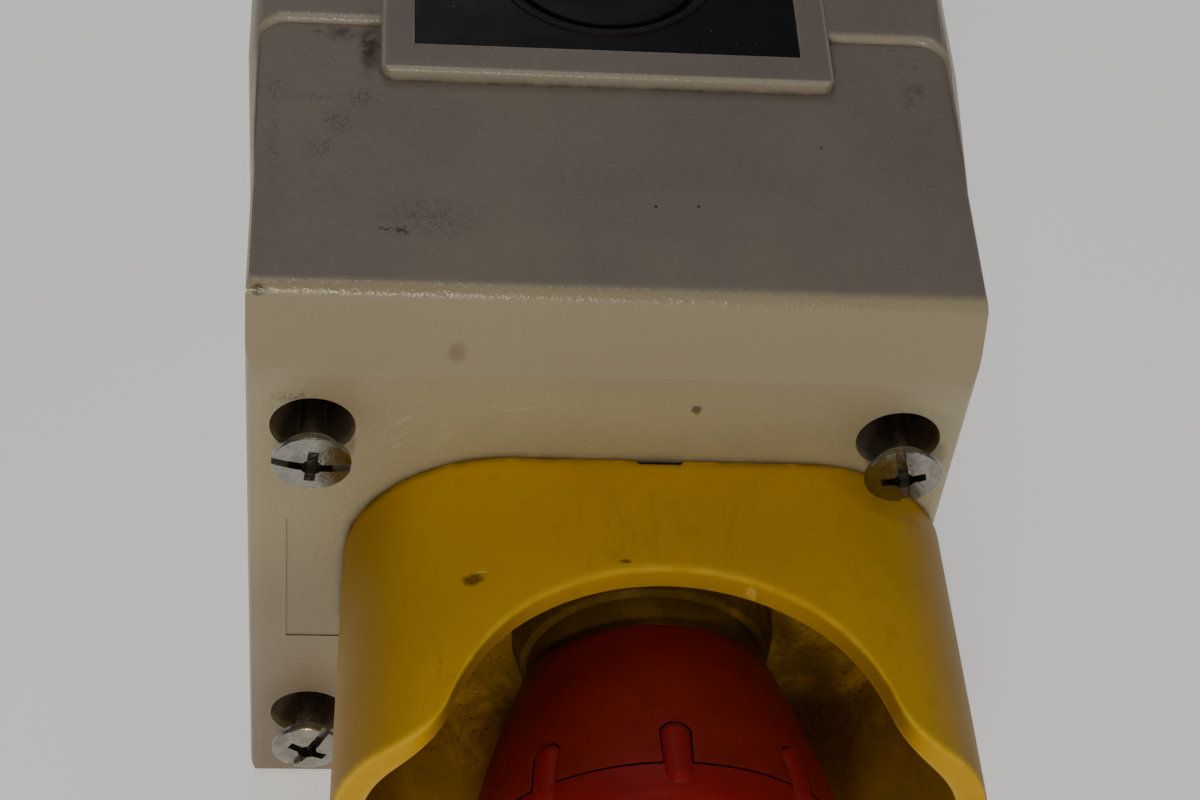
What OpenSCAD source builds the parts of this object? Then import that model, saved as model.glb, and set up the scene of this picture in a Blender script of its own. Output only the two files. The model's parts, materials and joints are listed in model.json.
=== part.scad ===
// Emergency stop button in a surface-mounted control box, with a palm guard.
// +Z is up and the button faces -Y. The origin is the centre of the rear face, which sits on the wall.

/* [Box] */
// Width of the box at its front
box_w = 74.2; // [72:0.1:80]
// Growth of each side towards the rear
side_flare = 1; // [0:0.1:1.5]
// Height of the box, from its underside to the flat of its top
box_h = 83; // [82:0.5:90]
// Depth of the box, from the wall to its front face
box_d = 73; // [72.5:0.5:76]
// Depth of the base, which the cover closes
base_d = 21.5; // [20:0.5:22]
// Thickness of the moulded walls
wall = 2.8; // [2.4:0.1:3]
// Height of the sloped strip along the top of the front
slope_h = 9.6; // [8:0.1:12]
// How far the sloped strip leans back
slope_d = 3.6; // [2:0.1:5]
// Height of the raised rim behind the top panel
rim_h = 1; // [0.8:0.1:1.6]

/* [Cable entry] */
// Width of the frame round the entry plate
frame_w = 48.4; // [46:0.1:50]
// Width of the entry plate that shows
plate_w = 41.2; // [38:0.1:42]
// Depth of the entry plate that shows
plate_d = 30.6; // [28:0.1:32]
// Height of the frame above the top panel
frame_h = 1.75; // [1.4:0.05:2.2]
// Outer radius of the ring on the entry plate
entry_ring_r = 12.8; // [10:0.1:13.5]

/* [Screws] */
// Distance between the cover screws across the box
screw_dx = 60.6; // [60:0.1:62]
// Distance between the cover screws up the box
screw_dz = 52.3; // [50:0.1:54]
// Radius of the counterbores
counterbore_r = 4.4; // [4.3:0.1:4.6]
// Depth of the counterbores
counterbore_d = 7; // [6:0.5:9]
// How far the screw heads stand out when they are undone
screw_out = 4.4; // [3:0.1:5]
// Distance between the wall screws across the box
wall_dx = 44; // [40:0.5:46]
// Distance between the wall screws up the box
wall_dz = 68; // [66:0.5:68]
// Radius of the wall screw holes
wall_hole_r = 2.25; // [2:0.05:2.5]

/* [Guard] */
// Width of the guard
guard_w = 65.2; // [62:0.1:68]
// Height of the guard
guard_h = 43.8; // [42:0.1:46]
// How far the guard's wings stand out
guard_d = 33.3; // [30:0.1:38]
// Corner radius of the guard
guard_r = 17.4; // [16:0.1:19]
// Wall thickness of the guard
guard_wall = 3.2; // [2.6:0.1:3.6]
// Radius of the scoops in the top and bottom of the guard
scoop_r = 23.7; // [22:0.1:25]
// How far the lowest point of a scoop stands out
scoop_low = 14.4; // [13:0.1:18]

/* [Button] */
// Distance of the button from the box's centre line
hole_x = 5.8; // [4:0.1:7]
// Radius of the panel hole
hole_r = 11.15; // [11.1:0.05:11.3]
// Radius of the mushroom head
head_r = 20; // [18:0.5:21]
// How far the seam of the head stands out
seam_f = 35.7; // [34:0.1:38]
// Travel of the button when it is pressed
travel = 4.4; // [3:0.1:5]
// Number of grip ribs round the head
rib_count = 9; // [6:1:12]

/* [Hidden] */
$fn = 64;

// Box
half_w = box_w / 2;
half_h = box_h / 2;
rear_w = half_w + side_flare;          // half width behind the flare
rim_top = half_h + rim_h;
frame_top = half_h + frame_h;
part_gap = 0.15;                       // between the cover and the base
cover_back = -base_d;                  // Y of the cover's rear edge
base_front = -base_d + part_gap;       // Y of the base's front edge
rim_depth = 41.5;                      // from the front face to the rim behind the top panel
rise_depth = 22;                       // from the front face to where the side edges start to rise
lean = atan(slope_d / slope_h);        // lean of the sloped strip from upright
slope_z = half_h - slope_h;            // height where the sloped strip starts
panel_side = 0.2;                      // from the side to the top panel, at the front
panel_corner_r = 3;
panel_rim_w = 1.3;                     // width of the rim's quarter round
flare_y0 = 19 - box_d;                 // the sides start to widen here
flare_y1 = 37 - box_d;                 // and are straight again from here
edge_r = 2;
bottom_edge_r = 1.6;
blend_r = 6;                           // bend between the front face and the sloped strip
ridge_r = 2.2;                         // bend between the sloped strip and the top
label_w = 65.9;
label_h = 21.4;
label_d = 0.15;
pillar_r = 5.6;
shank_hole_r = 2.3;
base_floor = 3;
base_pillar_r = 5;
wall_boss_r = 4.2;
wall_boss_h = 1;
gasket_w = 1.4;
gasket_t = 1.2;
gasket_inset = 0.7;
hole_z = -2.1;                         // height of the button and of the middle of the screw pattern

// Cable entry
frame_front = 33.1 - box_d;            // Y of the frame's front edge
frame_back = -1.5;                     // Y of the frame's rear edge
plate_y0 = 37 - box_d;                 // Y of the plate's front edge
plate_y1 = plate_y0 + plate_d;
plate_mid = (plate_y0 + plate_y1) / 2;
plate_t = 1.4;
plate_sink = 0.25;                     // below the top of the frame
plate_lip = 1.5;                       // flange of the plate that the frame holds
fit_gap = 0.05;

// Cover screws and inserts
screw_len = 55;
screw_head_r = 4.05;
screw_head_h = 1.05;                   // at its middle
screw_neck_r = 2.9;
screw_neck_h = 1.2;                    // the part under the head that holds the recess
thread_r = 2;
waist_r = 1.45;
thread_len = 12;
thread_pitch = 0.7;
seal_t = 0.8;
insert_top = 0.3;                      // below the base's front edge
insert_len = 12;
insert_r = 2.9;
insert_bore_r = 2.05;
screw_places = [[-1, 1], [1, 1], [-1, -1], [1, -1]];

// Guard
flange_t = 3.5;
guard_flare = 0.9;                     // growth of each side from root to rim
guard_hole_r = 11.2;
guard_gasket_r = 16;
guard_gasket_t = 0.8;
scoop_f = scoop_low + scoop_r;         // how far the centre of a scoop stands out
wing_r = 5.7;                          // bend between a scoop and a wing
wing_x = sqrt(pow(scoop_r + wing_r, 2) - pow(scoop_f - guard_d + wing_r, 2));
meet_f = scoop_f - (scoop_f - guard_d + wing_r) * scoop_r / (scoop_r + wing_r);

// Operator, along its axis: forward of the front face is positive
gasket_f = flange_t + 0.8;
barrel_r = 11;
barrel_flange_r = 13.8;
barrel_back = -16;
barrel_wall = 4;
barrel_front = 16.8;
barrel_neck_r = 11.7;
bore_r = 7.56;
rod_hole_r = 4.56;
bezel_f = gasket_f + 2;
bezel_front = 17;
pin_f = -14;                           // place of the latch pins
pin_r = 1.2;
nut_f = -wall - 0.8;
nut_t = 5;
nut_r = 15.5;

// Stem
rod_r = 4.5;
piston_r = 7.5;
piston_back = 5;
piston_front = 11;
neck_r = 5;
neck_front = 35.6;
rod_back = -18.1;
plate_back = -20.6;                    // rear face of the actuator plate
actuator_r = 8.8;

// Head
skirt_back = 15.3;
skirt_back_r = 13.9;
skirt_bulge_r = 17.9;
skirt_bore_r = 13.1;
hub_r = 8;
hub_bore_r = 5.06;
hub_back = 21.8;
seam_gap = 0.25;
cap_f = seam_f + seam_gap;
cap_front = 43.3;
rib_r = 1.8;
rib_groove_gap = 0.17;
rib_start = 32.2;                      // where a rib's round end is centred
rib_end = 37.1;                        // and its other round end
rib_proud = 0.6;

// Contact blocks
block_dx = 5.5;                        // each block's distance from the axis
block_x = 5.2;
block_y = 17;
block_front = -26.4;
block_back = -49;
block_skin = 1.2;
well_y = 8.6;                          // half height of the contact chamber
pocket_y0 = 10;
pocket_y1 = 16.1;
plunger_x = 2.9;
plunger_y = 3.4;
plunger_front = -20.8;
plunger_back = -38;
bridge_f = -33;                        // front face of the moving bridge
bridge_t = 0.8;
rivet_t = 0.6;
rivet_r = 1.2;
rivet_y = 6.6;
strip_t = 0.8;
strip_x = 2;
nc_strip_f = bridge_f + rivet_t + 0.05 + rivet_t;
no_strip_f = bridge_f - bridge_t - rivet_t - travel - 0.15 - rivet_t - strip_t;
terminal_y = 13.2;
tab_f = -46.5;

// ---- Helpers ----

// Points of an arc
function arc(c, r, a0, a1, n = 8) =
    [for (i = [0 : n]) let (a = a0 + (a1 - a0) * i / n) c + r * [cos(a), sin(a)]];

// A box given by its limits along each axis
module slab(x, y, z) {
    translate([x[0], y[0], z[0]]) cube([x[1] - x[0], y[1] - y[0], z[1] - z[0]]);
}

// Frame at a point of the front face: local Z points forward, local Y points up
module at_panel(x, z) {
    translate([x, -box_d, z]) rotate([90, 0, 0]) children();
}

module on_axis() {
    at_panel(hole_x, hole_z) children();
}

// A ring on the local Z axis
module ring(z0, z1, r_out, r_in) {
    rotate_extrude() translate([r_in, z0]) square([r_out - r_in, z1 - z0]);
}

// A rectangle with round corners, given by its limits
module round_rect(x, y, r) {
    translate([x[0] + r, y[0]]) square([x[1] - x[0] - 2 * r, y[1] - y[0]]);
    translate([x[0], y[0] + r]) square([x[1] - x[0], y[1] - y[0] - 2 * r]);
    for (cx = [x[0] + r, x[1] - r], cy = [y[0] + r, y[1] - r]) translate([cx, cy]) circle(r);
}

// A closed skin over a row of loops that have the same number of points
module loft(loops) {
    n = len(loops[0]);
    m = len(loops);
    sides = [for (i = [0 : m - 2], j = [0 : n - 1])
        let (k = (j + 1) % n)
        [i * n + j, i * n + k, (i + 1) * n + k, (i + 1) * n + j]];
    first = [for (j = [0 : n - 1]) n - 1 - j];
    last = [for (j = [0 : n - 1]) (m - 1) * n + j];
    polyhedron([for (l = loops) each l], concat(sides, [first], [last]), convexity = 8);
}

// A wire coil on the local Z axis, from z0 to z1
module coil(r, wire, z0, z1, turns, sides = 6, steps = 14) {
    rings = floor(turns * steps);
    loft([for (i = [0 : rings]) [for (j = [0 : sides - 1])
        let (a = 360 * turns * i / rings, b = 360 * j / sides, q = r + wire / 2 * cos(b))
        [q * cos(a), q * sin(a), z0 + wire / 2 + (z1 - z0 - wire) * i / rings + wire / 2 * sin(b)]]]);
}

// ---- Box ----

// Side view of the box's outer surface as [Y, Z], drawn in by inset
function side_outline(inset, back, top_back) =
    let (b = half_h - inset, f = -box_d + inset)
    concat(
        [[back, -b]],
        arc([f + max(bottom_edge_r - inset, 0.4), -b + max(bottom_edge_r - inset, 0.4)],
            max(bottom_edge_r - inset, 0.4), 270, 180),
        arc([-box_d + blend_r, slope_z - blend_r * tan(lean / 2)], blend_r - inset, 180, 180 - lean),
        let (r = max(ridge_r - inset, 0.4), t = tan(45 - lean / 2))
        arc([-box_d + slope_d + t * inset + r * t, b - r], r, 180 - lean, 90),
        [[rise_depth - box_d, b], [min(rim_depth - box_d, back), top_back], [back, top_back]]
    );

module side_prism(points, width) {
    rotate([90, 0, 90]) linear_extrude(width, center = true) polygon(points);
}

// Front view of the box at half width x, as a loop at depth y
function outline(x, y) = let (r = edge_r, a = half_h - r, b = rim_top - r)
    [for (p = concat(arc([x - r, b], r, 0, 90, 5), arc([r - x, b], r, 90, 180, 5),
        arc([r - x, -a], r, 180, 270, 5), arc([x - r, -a], r, 270, 360, 5))) [p[0], y, p[1]]];

// Plan view with round front corners
module plan_prism() {
    r = 1.5;
    y = r - box_d;
    translate([0, 0, -half_h - 1]) linear_extrude(box_h + 5)
        polygon(concat([[half_w + 5, y], [half_w + 5, 1], [-half_w - 5, 1], [-half_w - 5, y]],
            arc([r - half_w, y], r, 180, 270, 5), arc([half_w - r, y], r, 270, 360, 5)));
}

// The recess of the top panel: its rim is a quarter round, made of four tapered layers
module top_panel_cut() {
    layers = 4;
    for (i = [0 : layers - 1]) hull() for (k = [i, i + 1])
        let (a = 90 * k / layers, grow = panel_rim_w * (1 - cos(a)))
        translate([0, 0, half_h + rim_h * sin(a)]) linear_extrude(0.01)
            round_rect([-half_w + panel_side - grow, half_w - panel_side + grow],
                [-box_d - 5, rim_depth - box_d + grow], panel_corner_r, $fn = 32);
    slab([-half_w - 1, half_w + 1], [-box_d - 5, -box_d + 4], [half_h, half_h + 5]);
}

// Frame of the cable entry, with round front, side and rear top edges
module entry_frame() {
    r = 1;
    x = frame_w / 2;
    foot = half_h - wall;
    intersection() {
        side_prism(concat([[frame_back, foot], [frame_front, foot]],
            arc([frame_front + r, frame_top - r], r, 180, 90),
            arc([frame_back - r, frame_top - r], r, 90, 0)), frame_w);
        translate([0, 0, foot - 1]) linear_extrude(frame_top)
            round_rect([-x, x], [frame_front, frame_back], 1.6);
        rotate([90, 0, 0]) linear_extrude(box_d)
            polygon(concat([[x, foot], [-x, foot]],
                arc([r - x, frame_top - r], r, 180, 90), arc([x - r, frame_top - r], r, 90, 0)));
    }
}

// The window that the plate shows through, and the groove that holds its flange
module entry_cuts() {
    plate_top = frame_top - plate_sink;
    w = plate_w / 2 + fit_gap;
    slab([-w, w], [plate_y0 - fit_gap, plate_y1 + fit_gap], [half_h - wall - 2, frame_top + 1]);
    slab([-w - plate_lip, w + plate_lip], [plate_y0 - plate_lip - fit_gap, plate_y1 + plate_lip + fit_gap],
        [plate_top - 2 * plate_t - fit_gap, plate_top - plate_t + fit_gap]);
}

module base_box() {
    color("beige") difference() {
        union() {
            difference() {
                loft([outline(rear_w, base_front), outline(rear_w, 0)]);
                slab([wall - half_w, half_w - wall], [base_front - 1, -base_floor],
                    [wall - half_h, half_h - wall]);
            }
            intersection() {
                entry_frame();
                slab([-half_w, half_w], [base_front, 0], [0, frame_top + 1]);
            }
            for (p = screw_places) translate([p[0] * screw_dx / 2, -1, hole_z + p[1] * screw_dz / 2])
                rotate([90, 0, 0]) cylinder(r = base_pillar_r, h = -base_front - 1);
            for (x = [-1, 1], z = [-1, 1]) translate([x * wall_dx / 2, 0.5 - base_floor, z * wall_dz / 2])
                rotate([90, 0, 0]) cylinder(r = wall_boss_r, h = wall_boss_h + 0.5);
            locating_tongues();
        }
        entry_cuts();
        gasket_ring(0.02);
        for (p = screw_places) translate([p[0] * screw_dx / 2, 0, hole_z + p[1] * screw_dz / 2])
            rotate([90, 0, 0]) {
                translate([0, 0, -base_front - insert_top - insert_len])
                    cylinder(r = insert_r, h = insert_len + 1);
                translate([0, 0, 5]) cylinder(r = insert_bore_r, h = 10);
            }
        for (x = [-1, 1], z = [-1, 1]) translate([x * wall_dx / 2, 1, z * wall_dz / 2])
            rotate([90, 0, 0]) cylinder(r = wall_hole_r, h = 8);
    }
}

// Thin ribs inside the base's edge that the cover slides over
module locating_tongues() {
    t = 1.2;
    x = half_w - wall - 0.2;
    z = half_h - wall - 0.2;
    for (s = [-1, 1])
        slab([min(s * x, s * (x - t)), max(s * x, s * (x - t))], [base_front - 2, -base_floor], [-16, 12]);
    slab([-18, 18], [base_front - 2, -base_floor], [-z, t - z]);
}

module gasket_ring(grow) {
    i = gasket_inset - grow;
    o = gasket_inset + gasket_w + grow;
    difference() {
        translate([0, base_front + gasket_t, 0]) rotate([90, 0, 0])
            linear_extrude(gasket_t + grow) difference() {
            round_rect([i - rear_w, rear_w - i], [i - half_h, half_h - i], 1.6);
            round_rect([o - rear_w, rear_w - o], [o - half_h, half_h - o], 0.8);
        }
        slab([-plate_w / 2 - plate_lip - 1.2, plate_w / 2 + plate_lip + 1.2], [-box_d, 0], [0, half_h + 5]);
    }
}

module cover_gasket() {
    color("dimgray") gasket_ring(0);
}

module cover() {
    color("beige") difference() {
        union() {
            difference() {
                intersection() {
                    side_prism(side_outline(0, cover_back + 1, rim_top), 2 * rear_w + 2);
                    loft([outline(half_w, -box_d - 1), outline(half_w, flare_y0),
                        outline(rear_w, flare_y1), outline(rear_w, cover_back)]);
                    plan_prism();
                }
                side_prism(side_outline(wall, cover_back + 1, half_h - wall), box_w - 2 * wall);
                top_panel_cut();
            }
            intersection() {
                entry_frame();
                slab([-half_w, half_w], [-box_d, cover_back], [0, frame_top + 1]);
            }
            for (p = screw_places) at_panel(p[0] * screw_dx / 2, hole_z + p[1] * screw_dz / 2)
                translate([0, 0, -box_d - cover_back]) cylinder(r = pillar_r, h = box_d + cover_back - 1);
        }
        entry_cuts();
        on_axis() translate([0, 0, -wall - 1]) cylinder(r = hole_r, h = wall + 2);
        for (p = screw_places) at_panel(p[0] * screw_dx / 2, hole_z + p[1] * screw_dz / 2) {
            translate([0, 0, -counterbore_d]) cylinder(r = counterbore_r, h = counterbore_d + 1);
            translate([0, 0, -box_d]) cylinder(r = shank_hole_r, h = box_d);
        }
        at_panel(0, hole_z) translate([-label_w / 2, -label_h / 2, -label_d]) cube([label_w, label_h, 1]);
    }
}

// Plate of the cable entry: a knock-out membrane inside a raised ring
module entry_plate() {
    plate_top = frame_top - plate_sink;
    mid_y = plate_mid;
    w = plate_w / 2;
    color("black") difference() {
        union() {
            slab([-w, w], [plate_y0, plate_y1], [plate_top - plate_t - 0.5, plate_top]);
            slab([-w - plate_lip, w + plate_lip], [plate_y0 - plate_lip, plate_y1 + plate_lip],
                [plate_top - 2 * plate_t, plate_top - plate_t]);
            translate([0, mid_y, plate_top - 0.5]) ring(0, 0.72, entry_ring_r, entry_ring_r - 0.9);
        }
        translate([0, mid_y, plate_top]) ring(-0.8, 1, entry_ring_r - 0.9, entry_ring_r - 1.9);
        translate([0, mid_y, plate_top]) ring(-0.35, 1, 7.6, 6.9);
        translate([0, mid_y, plate_top - 0.9]) cylinder(r = 6.9, h = 2);
    }
}

module threaded_inserts() {
    color("goldenrod") for (p = screw_places)
        translate([p[0] * screw_dx / 2, base_front + insert_top, hole_z + p[1] * screw_dz / 2])
            rotate([-90, 0, 0])
            difference() {
                cylinder(r = insert_r, h = insert_len);
                translate([0, 0, -1]) cylinder(r = insert_bore_r, h = insert_len + 2);
                translate([0, 0, insert_len / 2 - 0.5]) ring(0, 1, insert_r + 1, insert_r - 0.4);
            }
}

// A captive screw with a slot and a cross in its low domed head, undone. The angle is the slot's turn.
module cover_screw(place, angle) {
    thread_top = thread_len - screw_len;
    dome_r = 18;
    dome = arc([0, screw_head_h - dome_r], dome_r, acos((screw_head_r - 0.1) / dome_r), 90, 6);
    teeth = [for (i = [0 : floor(thread_len / thread_pitch) - 2])
        for (p = [[thread_r, 0.5], [thread_r - 0.3, 0.85]]) [p[0], thread_top - (i + p[1]) * thread_pitch]];
    color("silver") at_panel(place[0] * screw_dx / 2, hole_z + place[1] * screw_dz / 2)
        translate([0, 0, screw_out]) rotate([0, 0, angle]) difference() {
            rotate_extrude() polygon(concat(
                [[0, -screw_len], [thread_r - 0.8, -screw_len]],
                [for (i = [len(teeth) - 1 : -1 : 0]) teeth[i]],
                [[thread_r - 0.3, thread_top], [waist_r, thread_top + 0.5], [waist_r, -screw_neck_h],
                 [screw_neck_r, -screw_neck_h], [screw_neck_r, 0], [screw_head_r - 0.15, 0],
                 [screw_head_r, 0.15], [screw_head_r, 0.5]], dome));
            translate([-5, -0.5, screw_head_h - 0.9]) cube([10, 1, 2]);
            for (a = [0, 90]) rotate([0, 0, a])
                translate([-2.3, -0.55, screw_head_h - 1.9]) cube([4.6, 1.1, 3]);
            translate([0, 0, screw_head_h - 2.1]) cylinder(r = 1.1, h = 3);
        }
}

module screw_upper_left() { cover_screw(screw_places[0], -6); }
module screw_upper_right() { cover_screw(screw_places[1], 104); }
module screw_lower_left() { cover_screw(screw_places[2], 60); }
module screw_lower_right() { cover_screw(screw_places[3], 20); }

module screw_seals() {
    color("dimgray") for (p = screw_places) at_panel(p[0] * screw_dx / 2, hole_z + p[1] * screw_dz / 2)
        ring(-counterbore_d, seal_t - counterbore_d, counterbore_r - 0.2, waist_r + 0.15);
}

// ---- Guard ----

// Outline of the guard, drawn in by inset, as a thin sheet
module guard_sheet(inset) {
    linear_extrude(0.01) round_rect([inset - guard_w / 2, guard_w / 2 - inset],
        [inset - guard_h / 2, guard_h / 2 - inset], guard_r - inset, $fn = 96);
}

// Outline of what is cut away above a scoop, as [X, forward]
module scoop_cut() {
    translate([0, scoop_f]) circle(scoop_r, $fn = 128);
    difference() {
        translate([-wing_x, meet_f]) square([2 * wing_x, 60]);
        for (s = [-1, 1]) translate([s * wing_x, guard_d - wing_r]) circle(wing_r);
    }
}

module guard() {
    color("gold") on_axis() difference() {
        hull() {
            guard_sheet(0);
            translate([0, 0, guard_d - 0.01]) guard_sheet(-guard_flare);
        }
        hull() {
            translate([0, 0, flange_t]) guard_sheet(guard_wall);
            translate([0, 0, guard_d + 1]) guard_sheet(guard_wall - guard_flare);
        }
        rotate([90, 0, 0]) translate([0, 0, -guard_h]) linear_extrude(2 * guard_h) scoop_cut();
        translate([0, 0, -1]) cylinder(r = guard_hole_r, h = flange_t + 2);
        translate([0, 0, -1]) cylinder(r = guard_gasket_r + 0.2, h = guard_gasket_t + 1);
        slab([-2.2, 2.2], [guard_h / 2 - guard_wall - 2, guard_h / 2 + 1], [-1, 0.5]);
    }
}

module guard_gasket() {
    color("dimgray") on_axis() ring(0, guard_gasket_t, guard_gasket_r, guard_hole_r + 0.1);
}

module operator_gasket() {
    color("dimgray") on_axis() ring(flange_t, gasket_f, barrel_flange_r, guard_hole_r + 0.1);
}

// ---- Operator ----

module operator_barrel() {
    pitch = 1.5;
    teeth = [for (i = [0 : 5]) for (p = [[barrel_r - 0.5, 0], [barrel_r, 0.75]])
        [p[0], nut_f - nut_t + (i - 1 + p[1]) * pitch]];
    color("dimgray") on_axis() difference() {
        rotate_extrude() polygon(concat(
            [[rod_hole_r, barrel_back], [barrel_r, barrel_back],
             [barrel_r, pin_f - 0.7], [barrel_r - 0.6, pin_f - 0.7],
             [barrel_r - 0.6, pin_f + 0.7], [barrel_r, pin_f + 0.7], [barrel_r, nut_f - nut_t - pitch - 0.3]],
            teeth,
            [[barrel_r, nut_f + 0.5], [barrel_r, gasket_f], [barrel_flange_r, gasket_f],
             [barrel_flange_r, gasket_f + 2], [barrel_neck_r, gasket_f + 2], [barrel_neck_r, barrel_front],
             [bore_r, barrel_front], [bore_r, barrel_back + barrel_wall],
             [rod_hole_r, barrel_back + barrel_wall]]));
        for (s = [-1, 1]) rotate([0, s * 90, 0]) translate([s * -pin_f, 0, 0])
            cylinder(r = pin_r + 0.1, h = 20);
    }
}

// Collar in front of the guard's floor, with grip flutes round its root
module bezel() {
    inner = barrel_neck_r + fit_gap;
    flutes = 28;
    color("gold") on_axis() difference() {
        rotate_extrude() polygon([[inner, bezel_f], [14.2, bezel_f], [14.2, bezel_f + 1],
            [13.4, 10.4], [12.75, 10.9],
            [12.75, bezel_front - 0.4], [12.35, bezel_front], [inner, bezel_front]]);
        for (i = [0 : flutes - 1]) rotate([0, 0, 360 * (i + 0.5) / flutes])
            translate([14.6, 0, bezel_f - 1]) cylinder(r = 0.8, h = 12, $fn = 16);
    }
}

module lock_washer() {
    color("silver") on_axis() difference() {
        ring(nut_f, -wall, barrel_r + 3, barrel_r + 0.1);
        for (i = [0 : 11]) rotate([0, 0, 30 * i]) translate([barrel_r + 2, -0.5, nut_f - 1]) cube([3, 1, 3]);
    }
}

module ring_nut() {
    color("dimgray") on_axis() difference() {
        ring(nut_f - nut_t, nut_f, nut_r, barrel_r + 0.06);
        for (i = [0 : 11]) rotate([0, 0, 30 * i]) translate([nut_r + 0.4, 0, nut_f - nut_t - 1])
            cylinder(r = 1.6, h = nut_t + 2, $fn = 24);
    }
}

module latch_pins() {
    color("silver") on_axis() for (s = [-1, 1]) translate([0, 0, pin_f]) rotate([0, s * 90, 0]) {
        translate([0, 0, 5.9]) cylinder(r = pin_r, h = barrel_r - 0.65 - 5.9);
        translate([0, 0, 5.9]) sphere(pin_r);
    }
}

module latch_clip() {
    color("silver") on_axis() difference() {
        ring(pin_f - 0.6, pin_f + 0.6, barrel_r, barrel_r - 0.6);
        translate([-2, barrel_r - 3, pin_f - 2]) cube([4, 6, 4]);
    }
}

module stem() {
    groove = 0.4;
    color("white") on_axis() difference() {
        rotate_extrude() polygon([[0, plate_back], [3, plate_back], [3, rod_back], [rod_r, rod_back],
            [rod_r, -17.05], [3.9, -17.05], [3.9, -16.05], [rod_r, -16.05],
            [rod_r, pin_f - 1], [rod_r - groove, pin_f - groove],
            [rod_r - groove, pin_f + groove], [rod_r, pin_f + 1],
            [rod_r, pin_f + travel - 1], [rod_r - groove, pin_f + travel - groove],
            [rod_r - groove, pin_f + travel + groove], [rod_r, pin_f + travel + 1],
            [rod_r, piston_back], [piston_r, piston_back], [piston_r, piston_front], [neck_r, piston_front],
            [neck_r, neck_front], [0, neck_front]]);
        translate([0, 0, neck_front - 9]) cylinder(r = 1.55, h = 10);
    }
}

module return_spring() {
    color("silver") on_axis() coil(6.1, 1, barrel_back + barrel_wall + 0.05, piston_back - 0.05, 6);
}

module stem_seal() {
    color("dimgray") on_axis() rotate_extrude() translate([6.28, 12.6]) circle(1.2, $fn = 32);
}

module seal_retainer() {
    color("dimgray") on_axis() ring(14, 16.4, bore_r - 0.02, neck_r + 0.3);
}

module stem_circlip() {
    color("silver") on_axis() difference() {
        ring(-17, -16.1, 6.4, 3.95);
        translate([-3, 0, -20]) cube([6, 8, 5]);
    }
}

module actuator_plate() {
    color("white") on_axis() difference() {
        ring(plate_back, rod_back, actuator_r, 3.02);
        for (a = [0, 180]) rotate([0, 0, a])
            translate([-1, actuator_r - 1.5, plate_back - 1]) cube([2, 3, 5]);
    }
}

// ---- Head ----

// Radius of the skirt's outside, from its rear edge (t = 0) to the seam (t = 1)
function skirt_r(t) =
    skirt_back_r * pow(1 - t, 2) + 2 * skirt_bulge_r * t * (1 - t) + (head_r - 0.05) * pow(t, 2);
function skirt_f(t) = skirt_back + (seam_f - skirt_back) * t;

// A rounded finger under the head's surface, at the top of the head
module rib(r) {
    foot = skirt_r((rib_start - skirt_back) / (seam_f - skirt_back)) + rib_proud - rib_r;
    tilt = 10;
    translate([0, foot, rib_start]) rotate([-tilt, 0, 0]) {
        cylinder(r = r, h = rib_end - rib_start, $fn = 24);
        sphere(r, $fn = 24);
        translate([0, 0, rib_end - rib_start]) sphere(r, $fn = 24);
    }
}

module head_skirt() {
    outer = [for (i = [0 : 16]) [skirt_r(i / 16), skirt_f(i / 16)]];
    color("darkred") on_axis() difference() {
        rotate_extrude() polygon(concat(
            [[skirt_bore_r, 20], [skirt_bore_r, skirt_back + 0.3], [skirt_bore_r + 0.3, skirt_back]],
            outer,
            [[hub_bore_r, seam_f], [hub_bore_r, hub_back], [hub_r, hub_back], [hub_r, 30],
             [10.5, 32.6], [13, 32.6],
             [14, 31.5], [14, 22]]));
        for (i = [0 : rib_count - 1]) rotate([0, 0, 360 * i / rib_count]) rib(rib_r + rib_groove_gap);
    }
}

module head_cap() {
    color("red") on_axis() difference() {
        union() {
            rotate_extrude() polygon(concat(
                [[0, seam_f + 0.02], [head_r - 2, seam_f + 0.02], [head_r - 2, cap_f], [head_r - 0.1, cap_f]],
                arc([head_r - 3.6, cap_f + 2.4], 3.7, 0, 68, 7),
                [[12, cap_front - 0.55], [6, cap_front - 0.12], [0, cap_front]]));
            for (i = [0 : rib_count - 1]) rotate([0, 0, 360 * i / rib_count]) rib(rib_r);
        }
        translate([0, 0, cap_f - 1]) cylinder(r = 6.4, h = 3);
        for (i = [0 : 2]) rotate([0, 0, 120 * i]) turn_arrow();
    }
}

// A curved arrow cut into the cap, pointing clockwise from the front
module turn_arrow() {
    translate([0, 0, cap_front - 1]) linear_extrude(3) {
        intersection() {
            difference() {
                circle(12.3);
                circle(10.7);
            }
            polygon(concat([[0, 0]], arc([0, 0], 20, 25, 80, 2)));
        }
        polygon([for (p = [[9.5, 25.5], [13.5, 25.5], [11.5, 6]]) p[0] * [cos(p[1]), sin(p[1])]]);
    }
}

module head_screw() {
    color("silver") on_axis() difference() {
        union() {
            translate([0, 0, neck_front - 8]) cylinder(r = 1.5, h = 8.2);
            translate([0, 0, neck_front + 0.15]) cylinder(r = 5.6, h = 1.2);
        }
        for (a = [0, 90]) rotate([0, 0, a]) translate([-1.8, -0.4, neck_front + 0.6]) cube([3.6, 0.8, 2]);
    }
}

module twist_spring() {
    color("silver") on_axis() coil(hub_r + 0.95, 0.9, 24, 28.5, 4);
}

// ---- Contacts ----

module contact_holder() {
    color("dimgray") on_axis() {
        difference() {
            union() {
                ring(-16.8, -9.2, 14.5, barrel_r + 0.06);
                for (s = [-1, 1])
                    slab([-6, 6], [min(s * 12.5, s * 14), max(s * 12.5, s * 14)], [block_front + 0.5, -16]);
                slab([-13, 13], [-19, 19], [block_front, block_front + 1.6]);
            }
            translate([0, 0, block_front - 1]) cylinder(r = actuator_r + 0.7, h = 4);
        }
    }
}

// Where one contact block sits. Its side is -1 or 1.
module at_block(side) {
    on_axis() translate([side * block_dx, 0, 0]) children();
}

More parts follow.
